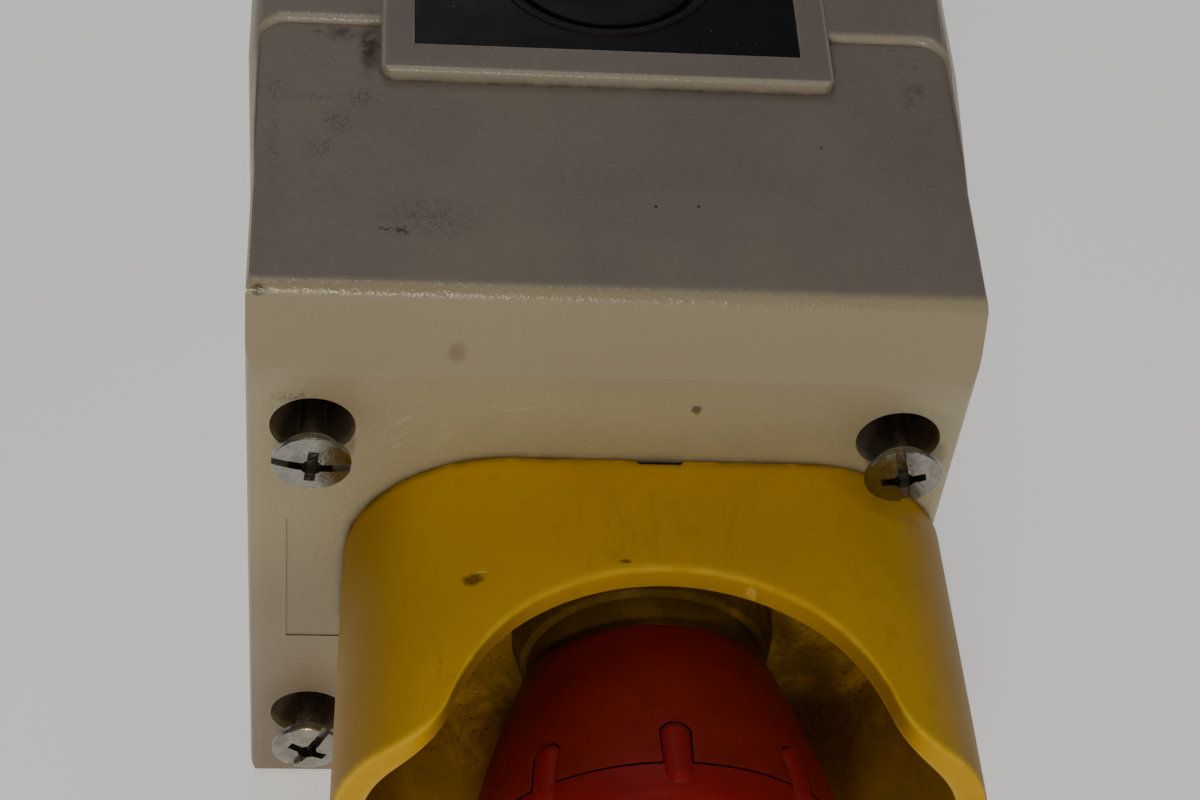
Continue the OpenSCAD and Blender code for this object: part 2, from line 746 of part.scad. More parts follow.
module housing(side, strip_f) {
    skin_x = block_x - block_skin;
    color("whitesmoke") at_block(side) difference() {
        slab([-block_x, block_x], [-block_y, block_y], [block_back, block_front]);
        slab([-skin_x, skin_x], [-well_y, well_y], [block_back + 1.5, block_front - 1.5]);
        slab([-plunger_x - 0.1, plunger_x + 0.1], [-plunger_y - 0.1, plunger_y + 0.1],
            [block_front - 3, block_front + 1]);
        for (s = [0, 180]) rotate([0, 0, s]) {
            slab([-skin_x, skin_x], [pocket_y0, pocket_y1], [block_back - 1, -30.2]);
            slab([-strip_x - 0.1, strip_x + 0.1], [well_y - 1, pocket_y0 + 1],
                [strip_f - 0.1, strip_f + strip_t + 0.1]);
        }
    }
}

module plunger(side) {
    color("white") at_block(side) difference() {
        slab([-plunger_x, plunger_x], [-plunger_y, plunger_y], [plunger_back, plunger_front]);
        slab([-1.7, 1.7], [-5, 5], [bridge_f - bridge_t - 0.1, bridge_f + 0.1]);
        translate([0, 0, plunger_back - 1]) cylinder(r = 1.2, h = 3);
    }
}

// Moving bridge, with its rivets in front (face 1) or behind (face -1)
module bridge(side, face) {
    color("peru") at_block(side) {
        slab([-1.6, 1.6], [-8, 8], [bridge_f - bridge_t, bridge_f]);
        for (s = [-1, 1]) translate([0, s * rivet_y, face > 0 ? bridge_f : bridge_f - bridge_t - rivet_t])
            cylinder(r = rivet_r, h = rivet_t, $fn = 32);
    }
}

module contact_spring(side) {
    color("silver") at_block(side) coil(2.1, 0.5, block_back + 1.55, plunger_back - 0.05, 5, 6, 12);
}

// Two fixed contacts, each from its rivet to its terminal tab
module fixed_contacts(side, strip_f, face) {
    color("goldenrod") at_block(side) for (s = [0, 180]) rotate([0, 0, s]) difference() {
        union() {
            slab([-strip_x, strip_x], [5.2, pocket_y1 - 0.1], [strip_f, strip_f + strip_t]);
            slab([-strip_x, strip_x], [pocket_y1 - 0.9, pocket_y1 - 0.1], [tab_f, strip_f + strip_t]);
            slab([-3.6, 3.6], [pocket_y0 + 0.4, pocket_y1 - 0.1], [tab_f, tab_f + strip_t]);
            translate([0, rivet_y, face > 0 ? strip_f + strip_t : strip_f - rivet_t])
                cylinder(r = rivet_r, h = rivet_t, $fn = 32);
        }
        translate([0, terminal_y, tab_f - 1]) cylinder(r = 1.5, h = 3);
    }
}

module terminal_screws(side) {
    color("silver") at_block(side) for (s = [0, 180]) rotate([0, 0, s])
        translate([0, terminal_y, tab_f]) difference() {
        union() {
            translate([0, 0, -1.8]) cylinder(r = 2.4, h = 1.75);
            translate([0, 0, -0.2]) cylinder(r = 1.45, h = 4);
        }
        rotate([0, 0, 25]) translate([-3, -0.4, -2.8]) cube([6, 0.8, 1.8]);
    }
}

module nc_housing() { housing(-1, nc_strip_f); }
module nc_plunger() { plunger(-1); }
module nc_bridge() { bridge(-1, 1); }
module nc_spring() { contact_spring(-1); }
module nc_contacts() { fixed_contacts(-1, nc_strip_f, -1); }
module nc_terminal_screws() { terminal_screws(-1); }
module no_housing() { housing(1, no_strip_f); }
module no_plunger() { plunger(1); }
module no_bridge() { bridge(1, -1); }
module no_spring() { contact_spring(1); }
module no_contacts() { fixed_contacts(1, no_strip_f, 1); }
module no_terminal_screws() { terminal_screws(1); }

base_box();
cover();
entry_plate();
cover_gasket();
threaded_inserts();
screw_upper_left();
screw_upper_right();
screw_lower_left();
screw_lower_right();
screw_seals();
guard();
guard_gasket();
operator_gasket();
operator_barrel();
bezel();
lock_washer();
ring_nut();
stem();
return_spring();
stem_seal();
seal_retainer();
latch_pins();
latch_clip();
stem_circlip();
actuator_plate();
head_skirt();
head_cap();
head_screw();
twist_spring();
contact_holder();
nc_housing();
nc_plunger();
nc_bridge();
nc_spring();
nc_contacts();
nc_terminal_screws();
no_housing();
no_plunger();
no_bridge();
no_spring();
no_contacts();
no_terminal_screws();
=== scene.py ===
import functools
import json
import math

import bmesh
import bpy
import numpy as np
from mathutils import Matrix, Vector


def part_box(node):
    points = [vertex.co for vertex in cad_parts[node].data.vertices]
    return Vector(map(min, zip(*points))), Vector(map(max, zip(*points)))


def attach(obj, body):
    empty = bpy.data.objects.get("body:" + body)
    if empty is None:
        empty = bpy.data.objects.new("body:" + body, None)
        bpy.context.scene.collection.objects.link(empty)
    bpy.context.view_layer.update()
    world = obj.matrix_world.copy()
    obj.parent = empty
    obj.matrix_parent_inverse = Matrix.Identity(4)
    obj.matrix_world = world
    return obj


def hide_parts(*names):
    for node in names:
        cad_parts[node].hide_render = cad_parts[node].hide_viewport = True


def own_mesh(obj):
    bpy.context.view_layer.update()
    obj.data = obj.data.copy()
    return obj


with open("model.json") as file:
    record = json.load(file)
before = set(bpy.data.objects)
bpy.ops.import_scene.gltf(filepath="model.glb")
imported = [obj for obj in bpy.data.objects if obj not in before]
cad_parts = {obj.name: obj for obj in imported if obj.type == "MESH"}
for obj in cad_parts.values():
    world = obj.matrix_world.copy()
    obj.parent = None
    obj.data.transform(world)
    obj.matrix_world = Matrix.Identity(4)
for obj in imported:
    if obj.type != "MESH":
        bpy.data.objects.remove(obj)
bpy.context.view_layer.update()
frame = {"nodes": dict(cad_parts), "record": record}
NODES = frame["nodes"]
NODE_SLOT = {part["node"]: part["material_slot"] for part in frame["record"]["subparts"]}
BODY_OF = {node: body for body, nodes in frame["record"]["behaviour"]["bodies"].items() for node in nodes}
MM = 0.001
# The box's front face, and its top panel, which is as far above the middle as the underside is below it
FRONT = round(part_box("cover")[0].y / MM, 2)
TOP = -round(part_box("base_box")[0].z / MM, 2)


# ---------------------------------------------------------------- node graphs
class Graph:
    """A material and short ways to add nodes to it. Positions are in metres, in the row frame."""

    def __init__(self, name, roughness=0.5, metallic=0.0, specular=0.5):
        self.mat = bpy.data.materials.new(name)
        self.mat.use_nodes = True
        self.tree = self.mat.node_tree
        self.tree.nodes.clear()
        out = self.tree.nodes.new("ShaderNodeOutputMaterial")
        self.shader = self.tree.nodes.new("ShaderNodeBsdfPrincipled")
        self.tree.links.new(self.shader.outputs[0], out.inputs[0])
        self.shader.inputs["Roughness"].default_value = roughness
        self.shader.inputs["Metallic"].default_value = metallic
        self.shader.inputs["Specular IOR Level"].default_value = specular
        self.pos = self.tree.nodes.new("ShaderNodeTexCoord").outputs["Object"]

    def add(self, kind, ins=(), **props):
        node = self.tree.nodes.new(kind)
        for key, value in props.items():
            setattr(node, key, value)
        for key, value in dict(ins).items():
            self.feed(node.inputs[key], value)
        return node

    def feed(self, socket, value):
        if isinstance(value, bpy.types.NodeSocket):
            self.tree.links.new(value, socket)
        elif socket.type == "RGBA" and len(value) == 3:
            socket.default_value = (*value, 1.0)
        else:
            socket.default_value = value

    def set(self, name, value):
        self.feed(self.shader.inputs[name], value)

    def math(self, op, a, b=0.0, c=0.0):
        return self.add("ShaderNodeMath", {0: a, 1: b, 2: c}, operation=op).outputs[0]

    def vector(self, op, *values):
        return self.add("ShaderNodeVectorMath", dict(enumerate(values)), operation=op).outputs

    def noise(self, scale, detail=3.0, rough=0.55, distort=0.0, at=None):
        ins = {"Vector": at or self.pos, "Scale": scale, "Detail": detail}
        return self.add("ShaderNodeTexNoise", {**ins, "Roughness": rough, "Distortion": distort}).outputs[0]

    def cells(self, scale):
        return self.add("ShaderNodeTexVoronoi", {"Vector": self.pos, "Scale": scale}).outputs["Distance"]

    def stretch(self, scale, turn=(0.0, 0.0, 0.0)):
        """Coordinates turned back by the angles and then scaled, for streaks in one direction."""
        ins = {"Vector": self.pos, "Scale": [1.0 / s for s in scale], "Rotation": turn}
        return self.add("ShaderNodeMapping", ins, vector_type="TEXTURE").outputs[0]

    def ramp(self, value, low, high, to_low=0.0, to_high=1.0):
        ins = {"Value": value, "From Min": low, "From Max": high, "To Min": to_low, "To Max": to_high}
        return self.add("ShaderNodeMapRange", ins, interpolation_type="SMOOTHSTEP", clamp=True).outputs[0]

    def mix(self, factor, a, b):
        node = self.add("ShaderNodeMix", data_type="RGBA", clamp_factor=True)
        for socket, value in zip((node.inputs[0], node.inputs[6], node.inputs[7]), (factor, a, b)):
            self.feed(socket, value)
        return node.outputs[2]

    def times(self, *values):
        total = values[0]
        for value in values[1:]:
            total = self.math("MULTIPLY", total, value)
        return total

    def most(self, *values):
        total = values[0]
        for value in values[1:]:
            total = self.math("MAXIMUM", total, value)
        return total

    def xyz(self):
        return self.add("ShaderNodeSeparateXYZ", {0: self.pos}).outputs

    def facing(self):
        """The surface's outward direction in the row frame, as three sockets."""
        normal = self.add("ShaderNodeTexCoord").outputs["Normal"]
        return self.add("ShaderNodeSeparateXYZ", {0: normal}).outputs

    def spot(self, centre, size, soft=0.5, ragged=0.35, grain=900.0):
        """1 inside an ellipsoid whose centre and half sizes are in mm, 0 outside, with a ragged edge."""
        at = self.vector("SUBTRACT", self.pos, [c * MM for c in centre])[0]
        unit = self.vector("MULTIPLY", at, [1.0 / (s * MM) for s in size])[0]
        length = self.vector("LENGTH", unit)["Value"]
        wobble = self.math("MULTIPLY_ADD", self.noise(grain, 4.0, 0.65), 2.0 * ragged, -ragged)
        return self.ramp(self.math("ADD", length, wobble), 1.0, 1.0 - soft)

    def crease(self, distance, low=0.35, high=0.85):
        """1 in corners narrower than the distance, in mm."""
        ao = self.add("ShaderNodeAmbientOcclusion", {"Distance": distance * MM}, samples=8)
        return self.ramp(ao.outputs["AO"], high, low)

    def edge(self, radius, low=0.02, high=0.25):
        """1 on outer edges sharper than the radius, in mm."""
        bevel = self.add("ShaderNodeBevel", {"Radius": radius * MM}, samples=6).outputs[0]
        normal = self.add("ShaderNodeNewGeometry").outputs["Normal"]
        dot = self.vector("DOT_PRODUCT", bevel, normal)["Value"]
        return self.ramp(self.math("SUBTRACT", 1.0, dot), low, high)

    def bump(self, *layers):
        """Each layer is (height, depth in mm)."""
        normal = None
        for height, depth in layers:
            ins = {"Height": height, "Distance": depth * MM, "Strength": 1.0}
            if normal:
                ins["Normal"] = normal
            normal = self.add("ShaderNodeBump", ins).outputs[0]
        self.set("Normal", normal)


def shade(colour, factor):
    return tuple(c * factor for c in colour)


# ---------------------------------------------------------------- materials
def beige_colour(g):
    """Beige, greyer on the sloped strip, darker towards the left and the bottom left of the front face, which
    is painted shade, and greyer on the rim, partly dust and partly a painted highlight, under the dust on the
    top, which thins near the front edge as painted light on the bend.
    """
    x, y, z = g.xyz()
    facing = g.facing()
    tint = g.mix(g.ramp(g.noise(28, 3), 0.35, 0.7), (0.52, 0.45, 0.262), (0.475, 0.415, 0.255))
    tint = g.mix(g.times(g.ramp(g.noise(420, 4, 0.7), 0.45, 0.8), 0.3), tint, (0.40, 0.34, 0.22))
    tint = g.mix(g.times(g.ramp(g.noise(2200, 3, 0.6), 0.50, 0.72), 0.22), tint, (0.36, 0.30, 0.20))
    front = g.times(g.ramp(y, -0.060, -0.069), g.ramp(facing[1], -0.25, -0.75))
    tint = g.mix(g.times(front, g.ramp(z, 0.028, 0.034)), tint, (0.440, 0.355, 0.225))
    # Painted shade: the front face is darkened towards the left, and more towards the bottom left
    tint = g.mix(g.times(front, g.ramp(x, -0.010, -0.030), 0.3), tint, (0.36, 0.295, 0.180))
    left = g.times(front, g.ramp(z, 0.012, -0.010), g.ramp(x, -0.018, -0.032), 0.9)
    tint = g.mix(left, tint, (0.335, 0.275, 0.185))
    tint = g.mix(g.times(left, g.ramp(z, -0.012, -0.038)), tint, (0.24, 0.19, 0.125))
    # Greyer on the rim and the boss above the top panel: partly dust, partly a painted cool highlight
    tint = g.mix(g.ramp(z, 0.0413, 0.0418), tint, (0.50, 0.44, 0.335))
    # Painted light: the dust thins near the top's front edge, so the rounded bend reads lighter
    bend_light = g.ramp(y, -0.0696, -0.0680, 0.35, 1.0)
    dust = g.times(g.ramp(facing[2], 0.80, 0.985), bend_light, g.ramp(g.noise(60, 5, 0.6), 0.2, 0.8, 0.8, 1.0))
    return g.mix(dust, tint, (0.235, 0.192, 0.170)), dust


def beige_smudges(g, speckle):
    """Smudges on the top, left of the cable entry and near the front edge."""
    haze = g.ramp(g.noise(1900, 5, 0.8, 0.4), 0.40, 0.66)
    streak = g.ramp(g.noise(1500, 4, 0.7), 0.46, 0.56)
    return g.most(
        g.times(g.spot((-26.2, -42.8, TOP), (2.6, 2.2, 3.0), 0.9, 0.5), speckle, 0.6),
        g.times(g.spot((-28.4, -46.4, TOP), (2.8, 3.2, 3.0), 0.9, 0.5), speckle, 0.6),
        g.times(g.spot((-30.4, -50.4, TOP), (2.6, 2.6, 3.0), 0.9, 0.5), speckle, 0.5),
        g.times(g.spot((-30.6, -42.8, TOP), (5.6, 0.8, 3.0), 0.9, 0.5), speckle, 0.5),
        g.times(g.spot((-34.9, -42.0, TOP), (1.8, 2.8, 3.0), 0.9, 0.5), speckle, 0.45),
        g.times(g.spot((-18.9, -59.8, TOP), (7.0, 4.2, 3.0), 0.95, 0.4), haze, 0.5),
        g.times(g.spot((-22.4, -61.6, TOP), (2.4, 0.9, 2.0), 0.8, 0.8, 700), streak, 0.9),
        g.times(g.spot((-35.0, -50.5, TOP), (0.8, 8.0, 3.0), 0.8), speckle, 0.4),
    )


def beige_dirt(g, tint, speckle):
    """Dirt in the corners of the top, single specks, painted shade in the creases and narrow corners, broken
    up like dust in the creases, and painted shade in the counterbores.
    """
    y = g.xyz()[1]
    fine, coarse, faint = (g.ramp(g.noise(scale, 5, 0.7), low, high)
                           for scale, low, high in ((520, 0.3, 0.55), (420, 0.4, 0.62), (420, 0.45, 0.7)))
    corners = g.most(
        g.times(g.spot((-25.4, -35.0, 42.0), (1.5, 5.6, 2.4), 0.8, 0.4, 700), fine),
        g.times(g.spot((-28.5, -33.0, 42.2), (5.5, 1.9, 2.2), 0.9, 0.5, 700), coarse, 0.8),
        g.times(g.spot((33.0, -38.0, 42.0), (2.0, 12.0, 2.2), 0.9, 0.5, 700), faint, 0.6),
    )
    specks = g.most(
        g.spot((4.0, -57.3, TOP), (0.26, 0.26, 0.5), 0.6),
        g.spot((8.4, -57.1, TOP), (0.24, 0.24, 0.5), 0.6),
        g.spot((22.0, -47.9, TOP), (0.20, 0.26, 0.5), 0.8),
        g.times(g.spot((8.7, FRONT, 28.1), (0.7, 0.6, 0.9), 0.5, 0.5, 1600), 0.7),
        g.times(g.spot((-35.9, -69.7, 40.7), (0.9, 1.0, 0.7), 0.6), 0.7),
    )
    stain = g.times(g.spot((-16.1, -71.9, 34.8), (1.4, 2.0, 1.6), 0.8, 0.2), 0.45)
    # Painted shade: ambient occlusion darkens the creases, broken up with noise like dust, and the narrow
    # corners
    crease = g.times(g.crease(2.2, 0.42, 0.8), g.ramp(g.noise(240, 5, 0.7), 0.25, 0.6), 0.6)
    line = g.times(g.crease(0.7, 0.4, 0.9), 0.45)
    # Painted shade darkening the inside of the counterbores
    inside = g.times(g.ramp(y, -0.0724, -0.0716), g.ramp(y, -0.0650, -0.0655), g.crease(9.0, 0.55, 0.75), 0.6)
    above = g.times(g.spot((-32.1, FRONT, 28.6), (3.2, 1.5, 1.2), 0.8, 0.5), speckle, 0.7)
    layers = (
        (corners, (0.055, 0.030, 0.016)),
        (specks, (0.05, 0.028, 0.018)),
        (stain, (0.20, 0.115, 0.05)),
        (crease, (0.09, 0.06, 0.038)),
        (line, (0.06, 0.04, 0.026)),
        (inside, (0.17, 0.105, 0.092)),
        (above, (0.05, 0.035, 0.03)),
    )
    for mask, colour in layers:
        tint = g.mix(mask, tint, colour)
    return tint


def beige_scratches(g):
    """Pale scratches on the face, above and left of the guard."""
    steep = g.noise(1.0, 4, 0.6, 0.4, g.stretch((160.0, 160.0, 1900.0), (0.0, math.radians(-40), 0.0)))
    flat = g.noise(1.0, 3, 0.5, 0.3, g.stretch((110.0, 110.0, 2600.0), (0.0, math.radians(-11), 0.0)))
    return g.most(
        g.times(g.spot((-19.8, FRONT, 23.0), (4.5, 1.0, 3.6), 0.8), g.ramp(steep, 0.53, 0.61)),
        g.times(g.spot((-8.8, -72.9, 27.4), (6.5, 1.0, 1.6), 0.9), g.ramp(flat, 0.58, 0.64), 0.5),
    )


def beige_plastic():
    g = Graph("beige_plastic", specular=0.48)
    speckle = g.ramp(g.noise(2600, 5, 0.8), 0.47, 0.60)
    tint, dust = beige_colour(g)
    smudges = beige_smudges(g, speckle)
    tint = beige_dirt(g, g.mix(smudges, tint, (0.050, 0.038, 0.030)), speckle)
    scratches = beige_scratches(g)
    tint = g.mix(g.times(scratches, 0.8), tint, (0.78, 0.66, 0.46))
    pale_edges = g.times(g.edge(0.8, 0.03, 0.2), g.ramp(g.noise(500, 4, 0.7), 0.35, 0.65), 0.4)
    g.set("Base Color", g.mix(pale_edges, tint, (0.52, 0.44, 0.33)))
    # The bend between the top and the sloped strip is rubbed smoother
    slant = g.facing()[2]
    bend = g.times(g.ramp(g.xyz()[2], 0.0375, 0.0400), g.ramp(slant, 0.42, 0.62), g.ramp(slant, 0.995, 0.93))
    grain = g.ramp(g.noise(1250, 3, 0.6), 0.3, 0.7)
    rough = g.math("SUBTRACT", g.math("MULTIPLY_ADD", grain, -0.12, 0.47), g.times(bend, 0.20))
    g.set("Roughness", g.math("ADD", rough, g.times(g.most(smudges, dust), 0.12)))
    g.bump((g.noise(90, 2), 0.035), (grain, 0.028), (g.noise(3600, 2, 0.5), 0.032), (scratches, 0.05))
    return g.mat


def black_plastic():
    g = Graph("black_plastic", specular=0.3)
    dust = g.times(g.ramp(g.noise(160, 5, 0.65), 0.4, 0.75), 0.25)
    tint = g.mix(dust, (0.0065, 0.0055, 0.007), (0.030, 0.026, 0.024))
    tint = g.mix(g.times(g.crease(1.2, 0.5, 0.95), 0.35), tint, (0.045, 0.037, 0.03))
    specks = g.ramp(g.cells(700), 0.12, 0.06)
    tint = g.mix(g.times(specks, g.ramp(g.noise(130), 0.55, 0.6), 0.5), tint, (0.16, 0.14, 0.12))
    g.set("Base Color", tint)
    g.set("Roughness", g.math("MULTIPLY_ADD", g.noise(300, 4), 0.25, 0.36))
    g.bump((g.noise(1700, 3), 0.02), (g.noise(120, 2), 0.05))
    return g.mat


def yellow_plastic(name, shell):
    """The guard's yellow where shell is true, or, for the bezel, the same plastic darkened brown all over
    with painted shade and grime.
    """
    g = Graph(name, specular=0.12)
    tint = g.mix(g.ramp(g.noise(45, 4), 0.3, 0.75), (0.72, 0.405, 0.002), (0.64, 0.350, 0.002))
    tint = g.mix(g.times(g.ramp(g.noise(300, 5, 0.7), 0.5, 0.8), 0.3), tint, (0.38, 0.19, 0.006))
    # Painted shade: the guard's left- and right-facing sides are darkened
    sides = g.ramp(g.math("ABSOLUTE", g.facing()[0]), 0.45, 0.95)
    tint = g.mix(g.times(sides, 0.85), tint, (0.34, 0.175, 0.002))
    # Painted shade: the bezel, shaded by the head and the guard's top, is darkened all over
    if not shell:
        tint = g.mix(0.6, tint, (0.03, 0.014, 0.002))
    # Brown darkening inside the guard and on the bezel: dirt, with painted shade that deepens towards the
    # guard's floor, and dark speckles
    deep = g.ramp(g.xyz()[1], -0.091, -0.0785)
    inner = g.add("ShaderNodeAttribute", attribute_name="inner").outputs["Fac"] if shell else 1.0
    film = g.ramp(g.noise(170, 6, 0.7, 0.5), 0.25, 0.6)
    grime_and_shade = g.times(inner, g.math("MULTIPLY_ADD", deep, 0.40, 0.35), film)
    tint = g.mix(g.times(grime_and_shade, 0.85 if shell else 1.3), tint, (0.085, 0.045, 0.006))
    speckle = g.ramp(g.noise(1900, 4, 0.8), 0.57, 0.66)
    tint = g.mix(g.times(speckle, inner, deep, 0.85), tint, (0.02, 0.012, 0.006))
    # Painted shade: ambient occlusion darkens the guard's corners, broken up with noise
    crease = g.times(g.crease(2.5, 0.35, 0.8), g.ramp(g.noise(260, 5), 0.3, 0.6), 0.75)
    tint = g.mix(crease, tint, (0.06, 0.033, 0.008))
    # Scuffs and smears on the outside
    streak = g.ramp(g.noise(1.0, 5, 0.7, 0.2, g.stretch((500.0, 90.0, 500.0))), 0.5, 0.66)
    smear = g.ramp(g.noise(900, 4), 0.5, 0.6)
    cloud = g.ramp(g.noise(420, 5, 0.7), 0.45, 0.68)
    marks = g.most(
        g.times(g.spot((-14.2, -88.7, 20.0), (1.9, 1.1, 1.2), 0.6, 0.6, 700), 0.8),
        g.times(g.spot((-17.3, -98.2, 19.6), (0.7, 4.6, 1.5), 0.9, 0.7, 900), smear),
        g.times(g.spot((-20.0, -84.0, 19.6), (1.0, 1.0, 2.0), 0.9, 0.8, 900), speckle),
        g.times(g.spot((1.5, -86.5, 20.0), (0.8, 0.35, 0.8), 0.6, 0.5), 0.75),
        g.times(g.spot((33.8, -78.2, 17.5), (2.6, 3.4, 4.5), 0.95), cloud, 0.75),
    )
    tint = g.mix(marks, tint, (0.11, 0.052, 0.010))
    tint = g.mix(g.times(streak, g.ramp(g.noise(40), 0.5, 0.7), 0.2), tint, (0.28, 0.145, 0.008))
    # The rim's edges are paler: partly wear, partly a painted highlight
    rim = g.add("ShaderNodeAttribute", attribute_name="rim").outputs["Fac"]
    pale_edges = g.times(g.ramp(rim, 0.35, 0.95), g.ramp(g.noise(210, 5, 0.7), 0.3, 0.62))
    tint = g.mix(g.times(pale_edges, 0.6), tint, (0.86, 0.56, 0.05))
    chips = g.most(
        g.spot((14.2, -89.1, 18.6), (0.9, 0.5, 1.5), 0.5, 0.7, 900),
        g.spot((-13.0, -88.0, 20.0), (0.8, 0.2, 0.8), 0.5, 0.7),
    )
    tint = g.mix(g.times(chips, 0.75), tint, (0.85, 0.60, 0.10))
    g.set("Base Color", tint)
    rough = g.math("MULTIPLY_ADD", g.noise(240, 4), 0.16, 0.38)
    g.set("Roughness", g.math("ADD", rough, g.times(g.most(grime_and_shade, marks), 0.25)))
    g.bump((g.noise(70, 2), 0.05), (g.noise(2000, 3), 0.005), (g.most(marks, chips), -0.05), (pale_edges, -0.015))
    return g.mat


def red_plastic(name, base, dull, gloss):
    g = Graph(name, specular=0.14)
    tint = g.mix(g.ramp(g.noise(70, 4), 0.3, 0.75), base, dull)
    film = g.times(g.ramp(g.noise(240, 6, 0.7, 0.4), 0.42, 0.75), 0.35)
    tint = g.mix(film, tint, shade(dull, 0.6))
    specks = g.times(g.ramp(g.cells(520), 0.10, 0.05), g.ramp(g.noise(90), 0.55, 0.62))
    tint = g.mix(g.times(specks, 0.3), tint, (0.22, 0.09, 0.06))
    # Painted shade: ambient occlusion darkens the seam and the grooves almost to black
    tint = g.mix(g.times(g.crease(1.0, 0.3, 0.85), 0.8), tint, (0.010, 0.005, 0.004))
    thread = g.ramp(g.noise(1.0, 4, 0.6, 0.3, g.stretch((220.0, 1900.0, 220.0), (0.3, 0.0, 0.2))), 0.66, 0.70)
    tint = g.mix(g.times(thread, 0.18), tint, (0.32, 0.07, 0.05))
    pale_edges = g.times(g.edge(0.4, 0.03, 0.25), g.ramp(g.noise(600, 4, 0.7), 0.35, 0.6))
    tint = g.mix(g.times(pale_edges, 0.3), tint, (0.40, 0.06, 0.04))
    g.set("Base Color", tint)
    rough = g.math("MULTIPLY_ADD", g.noise(330, 5, 0.65), 0.24, gloss)
    g.set("Roughness", g.math("ADD", rough, g.times(film, 0.3)))
    g.bump((g.noise(100, 3), 0.035), (g.noise(1500, 3, 0.6), 0.008), (thread, -0.006))
    return g.mat


def plated_steel(name, base, rust):
    g = Graph(name)
    brushed = g.noise(1.0, 4, 0.6, 0.0, g.stretch((350.0, 2500.0, 350.0)))
    tint = g.mix(g.ramp(g.noise(380, 5, 0.7), 0.35, 0.7), base, shade(base, 0.72))
    yellowish = g.ramp(g.noise(150, 3), 0.55, 0.7)
    tint = g.mix(g.times(yellowish, 0.4), tint, (0.52, 0.48, 0.36))
    dull = g.times(g.ramp(g.noise(520, 5, 0.7, 0.6), 0.44, 0.62), rust)
    tint = g.mix(g.times(dull, 0.55), tint, shade(base, 0.45))
    tarnish = g.times(g.crease(0.9, 0.35, 0.9), rust)
    tint = g.mix(tarnish, tint, (0.07, 0.055, 0.04))
    g.set("Base Color", tint)
    g.set("Metallic", g.math("SUBTRACT", 1.0, g.times(tarnish, 0.6)))
    g.set("Roughness", g.math("MULTIPLY_ADD", g.noise(700, 4, 0.65), 0.3, 0.12))
    g.bump((g.noise(260, 2), 0.05), (brushed, 0.008), (g.ramp(g.noise(900, 3), 0.5, 0.7), -0.02))
    return g.mat


def soft_metal(name, base, dull):
    g = Graph(name, metallic=1.0)
    tint = g.mix(g.ramp(g.noise(420, 5, 0.7), 0.35, 0.7), base, dull)
    tint = g.mix(g.times(g.crease(0.8, 0.3, 0.9), 0.5), tint, shade(dull, 0.4))
    g.set("Base Color", tint)
    g.set("Roughness", g.math("MULTIPLY_ADD", g.noise(900, 4), 0.25, 0.2))
    g.bump((g.noise(1.0, 3, 0.6, 0.0, g.stretch((300.0, 3000.0, 300.0))), 0.006))
    return g.mat


def pale_plastic(name, base, dull):
    g = Graph(name)
    tint = g.mix(g.ramp(g.noise(120, 4), 0.3, 0.7), base, dull)
    # Painted shade in the creases
    tint = g.mix(g.times(g.crease(1.0, 0.3, 0.9), 0.4), tint, shade(dull, 0.45))
    g.set("Base Color", tint)
    g.set("Roughness", g.math("MULTIPLY_ADD", g.noise(500, 4), 0.15, 0.34))
    g.bump((g.noise(1600, 3), 0.01))
    return g.mat


def rubber():
    g = Graph("rubber")
    bloom = g.ramp(g.noise(350, 5, 0.7), 0.4, 0.75)
    g.set("Base Color", g.mix(g.times(bloom, 0.6), (0.018, 0.017, 0.017), (0.06, 0.057, 0.053)))
    g.set("Roughness", g.math("MULTIPLY_ADD", bloom, 0.15, 0.62))
    g.bump((g.noise(1400, 4), 0.02))
    return g.mat


def pale_floor():
    g = Graph("pale_floor", roughness=0.7, specular=0.2)
    g.set("Base Color", g.mix(g.ramp(g.noise(6, 3), 0.3, 0.7), (0.90, 0.90, 0.895), (0.87, 0.87, 0.865)))
    g.set("Emission Color", (1.0, 1.0, 1.0))
    g.set("Emission Strength", 0.42)
    return g.mat


SLOTS = {
    "beige_plastic": beige_plastic(),
    "black_plastic": black_plastic(),
    "yellow_plastic": yellow_plastic("yellow_plastic", True),
    "bezel_plastic": yellow_plastic("bezel_plastic", False),
    "red_dark": red_plastic("red_dark", (0.27, 0.0130, 0.0060), (0.21, 0.0115, 0.0060), 0.40),
    "red_bright": red_plastic("red_bright", (0.30, 0.0080, 0.0080), (0.245, 0.0080, 0.0080), 0.30),
    "screw_zinc": plated_steel("screw_zinc", (0.33, 0.32, 0.28), 0.8),
    "steel": plated_steel("steel", (0.52, 0.52, 0.52), 0.3),
    "brass": soft_metal("brass", (0.72, 0.52, 0.24), (0.55, 0.38, 0.16)),
    "contact_copper": soft_metal("contact_copper", (0.78, 0.45, 0.27), (0.55, 0.30, 0.17)),
    "white_plastic": pale_plastic("white_plastic", (0.76, 0.75, 0.70), (0.66, 0.65, 0.60)),
    "block_plastic": pale_plastic("block_plastic", (0.56, 0.56, 0.53), (0.48, 0.48, 0.45)),
    "rubber": rubber(),
}


# ---------------------------------------------------------------- CAD nodes
def dress(node, bevel=0.0):
    """Gives a CAD node its material, smooth shading and, if asked, rounded edges (a radius in mm)."""
    obj = NODES[node]
    obj.data.materials.clear()
    obj.data.materials.append(SLOTS[NODE_SLOT[node]])
    obj.modifiers.new("weld", "WELD").merge_threshold = 2e-6
    if bevel:
        round_edges(obj, bevel, segments=3, limit=40.0)
    smooth(obj, angle=32.0)


def round_edges(obj, radius, segments, limit=None):
    """Rounds edges that turn by more than the limit, in degrees, or by their weights. The radius is in mm."""
    mod = obj.modifiers.new("round", "BEVEL")
    mod.width = radius * MM
    mod.segments = segments
    mod.miter_outer = "MITER_ARC"
    mod.limit_method = "ANGLE" if limit else "WEIGHT"
    if limit:
        mod.angle_limit = math.radians(limit)


